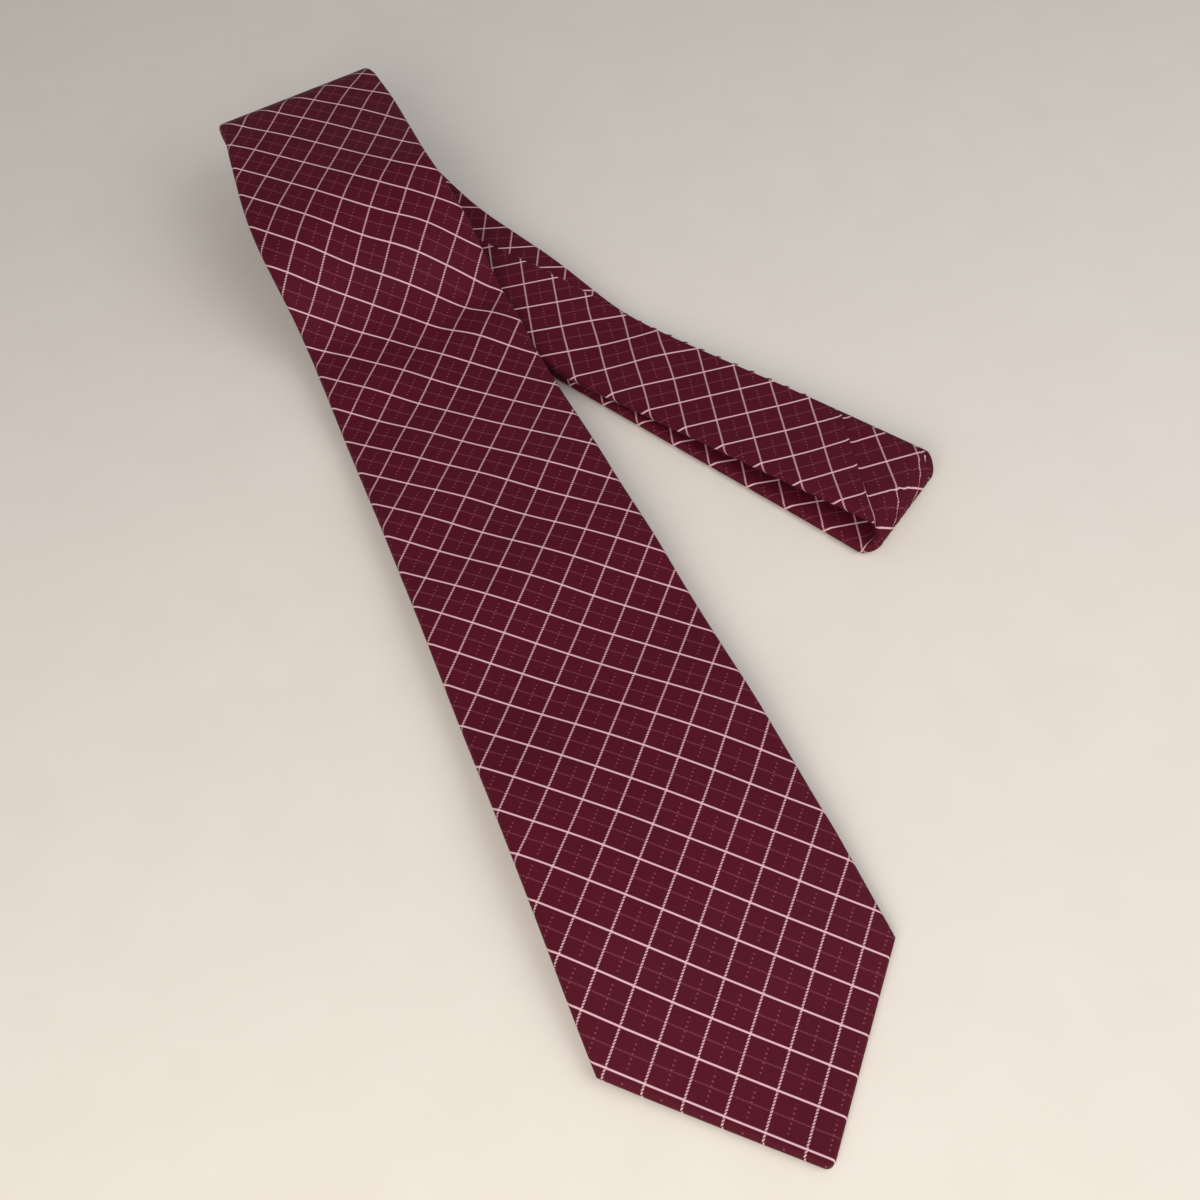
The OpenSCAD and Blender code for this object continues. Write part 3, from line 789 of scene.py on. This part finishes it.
# ---- sewing: every stitch is its own bead of thread ----
def thread_stitches(name, places, thick=0.28):
    """Stitches at places of s, r, d and half the reach along s and across r. The ends of
    each dive into the cloth."""
    bpy.ops.object.select_all(action="DESELECT")
    bpy.ops.mesh.primitive_uv_sphere_add(segments=8, ring_count=8, radius=1)
    bead = bpy.context.object
    shape = np.array([v.co for v in bead.data.vertices])
    for number, (s, r, d, along, across) in enumerate(places):
        if number:
            bpy.ops.object.duplicate()
        long = math.hypot(along, across)
        side = shape[:, 0] * thick
        place = lay(s + shape[:, 2] * along + side * across / long,
                    r + shape[:, 2] * across - side * along / long,
                    d + (shape[:, 1] + 1.1 * shape[:, 2] ** 2) * thick)
        stitch = bpy.context.object
        stitch.data.vertices.foreach_set("co", (place * MM).astype(np.float32).ravel())
        stitch.name = f"{name}_{number}"
    made = [o for o in bpy.context.scene.objects if o.name.startswith(name + "_")]
    for stitch in made:
        stitch.select_set(True)
    bpy.ops.object.join()
    piece = bpy.context.object
    piece.name = piece.data.name = name
    bpy.ops.object.mode_set(mode="EDIT")
    bpy.ops.mesh.select_all(action="SELECT")
    bpy.ops.mesh.normals_make_consistent(inside=False)
    bpy.ops.object.mode_set(mode="OBJECT")
    bpy.ops.object.shade_smooth()
    return piece


def seam_stitches(name, start, end, gap):
    """Slip stitches that hold the outer back panel's folded edge to the inner panel."""
    return thread_stitches(name, [
        (s, float(outer_end(s)) + 0.35, -float(inner_level(s)) - 0.42, 1.5, 0.8)
        for s in np.arange(start, end, gap)])


def bar_tack(name, at):
    """Long threads across the top of the point's opening, wrapped closely."""
    long = [(at + x, 0, -2.05, 0, 5) for x in (-0.4, 0, 0.4)]
    wraps = [(at, r, -2.2, 0.75, 0.08) for r in np.linspace(-4.4, 4.4, 17)]
    return thread_stitches(name, long + wraps, 0.24)


def join_stitches(name, at, lag):
    """The sewn line of a join, round the tie just inside the cloth."""
    row = np.array([float(at)])
    r, d, c = shell_section(row, np.array([[0.75]]))
    s = row[:, None] + lag(row[:, None], r, c)
    middles = np.arange(c[0, LIP_COLUMNS], c[0, -1 - LIP_COLUMNS], 2.6)
    places = []
    for middle in middles:
        where = [np.interp(middle + x, c[0], line) for line in (s[0], r[0], d[0])
                 for x in (-1, 0, 1)]
        along, across = (where[2] - where[0]) / 2, (where[5] - where[3]) / 2
        places.append((where[1], where[4], where[7], along, across))
    return thread_stitches(name, places, 0.16)


BLADE_STITCH_GAP, NECK_STITCH_GAP = 5.5, 7
blade_seam = seam_stitches("blade_seam_thread", LAP_FROM + 3, KEEPER_AT - 2, BLADE_STITCH_GAP)
neck_seam = seam_stitches("neck_seam_thread", FOLD1_TO + 2, 690, NECK_STITCH_GAP)
tail_seam = seam_stitches("tail_seam_thread", JOIN2_AT + 60, TIE_LEN - LAP_FROM - 3,
                          NECK_STITCH_GAP)
blade_tack = bar_tack("blade_tack_thread", GAP_TOP + 3.7)
tail_tack = bar_tack("tail_tack_thread", TIE_LEN - GAP_TOP - 4.3)
label_rows = [(LABEL_AT + up, r, -2.16, 0, 1.3)
              for up in (1.5, LABEL_TALL - 1.5) for r in np.arange(-23.4, 24, 3.6)]
tape_rows = [(TAG_SEWN - 1.5, r, -1.5, 0, 1.1) for r in (9.6, 12.8, 16, 19.2, 22.4)]
label_thread = thread_stitches("label_thread", label_rows + tape_rows, 0.2)
keeper_thread = thread_stitches("keeper_thread", [
    (KEEPER_AT + along, side * (KEEPER_LEN / 2 - 1.6), -2.75, 1.5, 0)
    for side in (-1, 1) for along in (1.9, 5.5, 9.1)], 0.25)
neck_join = join_stitches("neck_join_thread", JOIN1_AT - 0.01, front_neck_lag)
tail_join = join_stitches("tail_join_thread", JOIN2_AT - 0.01, middle_lag)

# ---- finishes ----
CHECK = 11
THREAD_PITCH = 0.6
ROPE_PITCH = 0.9
FINE_DOTS, WIDE_DOTS = 0.6, 1.3
FIRST_LINE_A, FIRST_LINE_B = 2.71, 7.39


def add(tree, kind, inputs=(), out=0, **settings):
    """Adds a node with its settings, links or fills its inputs, and gives its output. The
    inputs are a list in the node's own order, or a dict by name or number."""
    made = tree.nodes.new("ShaderNode" + kind)
    for name, value in settings.items():
        setattr(made, name, value)
    pairs = inputs.items() if isinstance(inputs, dict) else enumerate(inputs)
    for socket, value in pairs:
        if isinstance(value, bpy.types.NodeSocket):
            tree.links.new(value, made.inputs[socket])
        else:
            made.inputs[socket].default_value = value
    return made.outputs[out]


def new_finish(name):
    finish = bpy.data.materials.new(name)
    finish.use_nodes = True
    tree = finish.node_tree
    return finish, tree, tree.nodes["Principled BSDF"]


def woven_check_cloth():
    """Polyester silk-look cloth, jacquard woven on the bias: matt burgundy with a soft
    sheen, thin pale lines in two directions and rows of dots between them."""
    finish, tree, surface = new_finish("woven_check_cloth")
    eased = {"interpolation_type": "SMOOTHSTEP"}
    plus, less = {"operation": "ADD"}, {"operation": "SUBTRACT"}
    times, more = {"operation": "MULTIPLY"}, {"operation": "MAXIMUM"}
    to_and_fro = {"operation": "PINGPONG"}
    cut = add(tree, "UVMap", uv_map="cloth")
    turned = add(tree, "Mapping", {"Vector": cut, "Rotation": (0, 0, math.radians(-45))})
    a, b, _ = add(tree, "SeparateXYZ", [turned]).node.outputs

    # distance from the nearest line of each set, and from the row halfway between two
    half = CHECK / 2
    past_a = add(tree, "Math", [a, FIRST_LINE_A], **less)
    past_b = add(tree, "Math", [b, FIRST_LINE_B], **less)
    from_a = add(tree, "Math", [past_a, half], **to_and_fro)
    from_b = add(tree, "Math", [past_b, half], **to_and_fro)
    row_a = add(tree, "Math", [half, from_a], **less)
    row_b = add(tree, "Math", [half, from_b], **less)

    # the second set of lines is a rope of slanted floats
    line_a = add(tree, "MapRange", [from_a, 0.34, 0.17, 0, 0.95], **eased)
    slant = add(tree, "Math", [a, b], **plus)
    slant = add(tree, "Math", [slant, ROPE_PITCH / 2], **to_and_fro)
    strand = add(tree, "MapRange", [slant, 0.08, 0.26, 0, 0.95], **eased)
    line_b = add(tree, "MapRange", [from_b, 0.38, 0.2], **eased)
    line_b = add(tree, "Math", [line_b, strand], **times)

    # small dots halfway between the lines, and larger ones that stop short of the first set
    along_b = add(tree, "Math", [b, FINE_DOTS / 2], **to_and_fro)
    along_a = add(tree, "Math", [a, WIDE_DOTS / 2], **to_and_fro)
    fine = add(tree, "Math", [add(tree, "MapRange", [row_a, 0.3, 0.12], **eased),
                              add(tree, "MapRange", [along_b, 0.1, 0.2, 0, 0.4], **eased)],
               **times)
    wide = add(tree, "Math", [add(tree, "MapRange", [row_b, 0.36, 0.14], **eased),
                              add(tree, "MapRange", [along_a, 0.36, 0.5, 0, 0.42], **eased)],
               **times)
    clear = add(tree, "MapRange", [from_a, 1, 2.2], **eased)
    dots = add(tree, "Math", [fine, add(tree, "Math", [wide, clear], **times)], **more)

    # yarn is finer than it shows, so it is drawn 0.6 mm apart
    yarn_a = add(tree, "Math", [a, THREAD_PITCH / 2], **to_and_fro)
    yarn_b = add(tree, "Math", [b, THREAD_PITCH / 2], **to_and_fro)
    weave = add(tree, "Math", [add(tree, "MapRange", [yarn_a, 0, THREAD_PITCH / 2], **eased),
                               add(tree, "MapRange", [yarn_b, 0, THREAD_PITCH / 2], **eased)],
                **times)
    slub = add(tree, "TexNoise", {"Vector": turned, "Scale": 0.9, "Detail": 3.0})
    cloudy = add(tree, "TexNoise", {"Vector": turned, "Scale": 0.03, "Detail": 2.0})
    shade = add(tree, "Math", [add(tree, "Math", [weave, 0.3], **times),
                               add(tree, "Math", [slub, 0.45], **times)], **plus)
    shade = add(tree, "Math", [shade, add(tree, "Math", [cloudy, 0.35], **times)], **plus)

    ground = add(tree, "Mix", {0: shade, 6: hex_colour("#3E0A19"), 7: hex_colour("#66132A")},
                 out=2, data_type="RGBA")
    dotted = add(tree, "Mix", {0: dots, 6: ground, 7: hex_colour("#B0607A")},
                 out=2, data_type="RGBA")
    roped = add(tree, "Mix", {0: line_b, 6: dotted, 7: hex_colour("#E6BBC4")},
                out=2, data_type="RGBA")
    lined = add(tree, "Mix", {0: line_a, 6: roped, 7: hex_colour("#ECC1CA")},
                out=2, data_type="RGBA")
    tree.links.new(lined, surface.inputs["Base Color"])
    lines = add(tree, "Math", [line_a, line_b], **more)
    height = add(tree, "Math", [add(tree, "Math", [weave, 0.5], **times),
                                add(tree, "Math", [lines, 0.8], **times)], **plus)
    tree.links.new(add(tree, "Bump", {"Strength": 0.35, "Distance": 0.0001, "Height": height}),
                   surface.inputs["Normal"])
    tree.links.new(add(tree, "MapRange", [weave, 0, 1, 0.62, 0.5]), surface.inputs["Roughness"])
    surface.inputs["Sheen Weight"].default_value = 0.02
    surface.inputs["Sheen Roughness"].default_value = 0.5
    surface.inputs["Specular IOR Level"].default_value = 0.1
    return finish


def plain_weave(name, dark, light, pitch, rough, strength):
    """A plain weave of one yarn over one, with slubs. pitch is the yarn's spacing in mm."""
    finish, tree, surface = new_finish(name)
    cut = add(tree, "UVMap", uv_map="cloth")
    waves = []
    for way in add(tree, "SeparateXYZ", [cut]).node.outputs[:2]:
        wave = add(tree, "Math", [way, pitch / 2], operation="PINGPONG")
        waves.append(add(tree, "Math", [wave, 2 / pitch], operation="MULTIPLY"))
    over = add(tree, "Math", waves, operation="MULTIPLY")
    slub = add(tree, "TexNoise", {"Vector": cut, "Scale": 0.8, "Detail": 4.0})
    shade = add(tree, "Math", [over, 0.4, slub], operation="MULTIPLY_ADD")
    mixed = add(tree, "Mix", {0: shade, 6: hex_colour(dark), 7: hex_colour(light)},
                out=2, data_type="RGBA")
    tree.links.new(mixed, surface.inputs["Base Color"])
    bump = add(tree, "Bump", {"Strength": strength, "Distance": 0.0002, "Height": shade})
    tree.links.new(bump, surface.inputs["Normal"])
    surface.inputs["Roughness"].default_value = rough
    return finish


def woven_label_satin():
    """A damask label: smooth dark satin with one thin woven frame."""
    finish, tree, surface = new_finish("damask_label")
    cut = add(tree, "UVMap", uv_map="cloth")
    ways = add(tree, "SeparateXYZ", [cut]).node.outputs
    edges = []
    for way, half in ((ways[0], LABEL_HALF - 3), (ways[1], LABEL_TALL / 2 - 3.4)):
        off = add(tree, "Math", [way], operation="ABSOLUTE")
        edges.append(add(tree, "Math", [off, half], operation="SUBTRACT"))
    edge = add(tree, "Math", edges, operation="MAXIMUM")
    edge = add(tree, "Math", [edge], operation="ABSOLUTE")
    frame_line = add(tree, "MapRange", [edge, 0.5, 0.3])
    rib = add(tree, "Math", [ways[1], 0.2], operation="PINGPONG")
    shade = add(tree, "Math", [rib, 2.5], operation="MULTIPLY")
    ground = add(tree, "Mix", {0: shade, 6: hex_colour("#2B2B30"), 7: hex_colour("#45454C")},
                 out=2, data_type="RGBA")
    framed = add(tree, "Mix", {0: frame_line, 6: ground, 7: hex_colour("#B9B0A2")},
                 out=2, data_type="RGBA")
    tree.links.new(framed, surface.inputs["Base Color"])
    bump = add(tree, "Bump", {"Strength": 0.3, "Distance": 0.0001, "Height": shade})
    tree.links.new(bump, surface.inputs["Normal"])
    surface.inputs["Roughness"].default_value = 0.38
    return finish


def sewing_thread():
    """Spun polyester thread, two plies twisted together, a little shiny."""
    finish, tree, surface = new_finish("polyester_thread")
    round_it = add(tree, "UVMap", uv_map="UVMap")
    turned = add(tree, "Mapping", {"Vector": round_it, "Scale": (2, 6, 1)})
    across, along, _ = add(tree, "SeparateXYZ", [turned]).node.outputs
    ply = add(tree, "Math", [across, along], operation="ADD")
    ply = add(tree, "Math", [ply, 0.5], operation="PINGPONG")
    mixed = add(tree, "Mix", {0: ply, 6: hex_colour("#5A1728"), 7: hex_colour("#95384F")},
                out=2, data_type="RGBA")
    tree.links.new(mixed, surface.inputs["Base Color"])
    bump = add(tree, "Bump", {"Strength": 0.5, "Distance": 0.0001, "Height": ply})
    tree.links.new(bump, surface.inputs["Normal"])
    surface.inputs["Roughness"].default_value = 0.45
    return finish


def dress(piece, finish):
    piece.data.materials.clear()
    piece.data.materials.append(finish)


check_cloth = woven_check_cloth()
# undyed wool, woven open and hairy, so it is matt and uneven
wool_canvas = plain_weave("wool_canvas", "#B9AE9A", "#EAE3D4", 1.1, 0.95, 0.6)
# smooth filament yarn, so it shines a little
acetate_lining = plain_weave("acetate_lining", "#3A0D18", "#5E1A2A", 0.5, 0.4, 0.25)
satin_tape = plain_weave("satin_tape", "#D8D3C8", "#F1EEE6", 0.4, 0.45, 0.25)
damask_label = woven_label_satin()
polyester_thread = sewing_thread()

dress(keeper, check_cloth)
dress(label, damask_label)
dress(tape, satin_tape)
for thread in (blade_seam, neck_seam, tail_seam, blade_tack, tail_tack, label_thread,
               keeper_thread, neck_join, tail_join):
    dress(thread, polyester_thread)
for cloth in (blade_shell, front_neck, middle_shell, tail_shell):
    dress(cloth, check_cloth)
for canvas in (blade_canvas, neck_canvas, rear_canvas):
    dress(canvas, wool_canvas)
for lining in (blade_lining, tail_lining):
    dress(lining, acetate_lining)

# ---- floor, light and camera ----
bpy.ops.mesh.primitive_plane_add(size=6)
floor = bpy.context.object
floor.name = "floor"
# uncoated backdrop paper, dead matt with a faint fleck
paper, paper_tree, paper_surface = new_finish("matt_paper")
grain = add(paper_tree, "TexNoise", {"Scale": 260.0, "Detail": 3.0})
paper_tree.links.new(
    add(paper_tree, "Mix", {0: grain, 6: hex_colour("#EDE7DE"), 7: hex_colour("#F3EEE6")},
        out=2, data_type="RGBA"),
    paper_surface.inputs["Base Color"])
paper_surface.inputs["Roughness"].default_value = 0.9
floor.data.materials.append(paper)

add_camera()
add_soft_light("window", (0.42, -0.4, 0.6), 0.7, 2.7, "#FFFDFA")
add_soft_light("room", (-0.38, -0.5, 0.5), 0.5, 3.3, "#FFF4EA")
world = bpy.data.worlds.new("studio")
world.use_nodes = True
world.node_tree.nodes["Background"].inputs[0].default_value = hex_colour("#F2F3F6")
world.node_tree.nodes["Background"].inputs[1].default_value = 0.33
bpy.context.scene.world = world
bpy.context.scene.view_settings.view_transform = "Standard"

# ---- what moves with what ----
for piece in (blade_shell, blade_canvas):
    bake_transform(piece)
for piece in (front_neck, neck_canvas):
    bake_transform(piece)
for piece in (middle_shell, tail_shell, rear_canvas, tail_lining):
    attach(piece, "root")
for piece in (blade_lining, keeper, label, tape, blade_seam, blade_tack, label_thread,
              keeper_thread):
    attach(piece, "blade")
for piece in (neck_seam, tail_seam, tail_tack, neck_join, tail_join):
    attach(piece, "root")

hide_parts("front_shell_blade")
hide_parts("front_shell_fold", "front_shell_neck")
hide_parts("neck_shell")
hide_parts("tail_shell")
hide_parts("interlining_blade")
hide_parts("interlining_fold", "interlining_neck")
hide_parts("interlining_rear")
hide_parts("blade_tipping")
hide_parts("tail_tipping")
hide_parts("keeper_loop")
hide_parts("woven_label")
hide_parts("care_tag")
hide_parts("keeper_tacks")
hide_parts("label_stitches")
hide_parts("blade_bar_tack")
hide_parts("tail_bar_tack")
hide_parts("blade_slip_stitch")
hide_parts("neck_slip_stitch")
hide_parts("tail_slip_stitch")
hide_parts("neck_join_stitch")
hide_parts("tail_join_stitch")
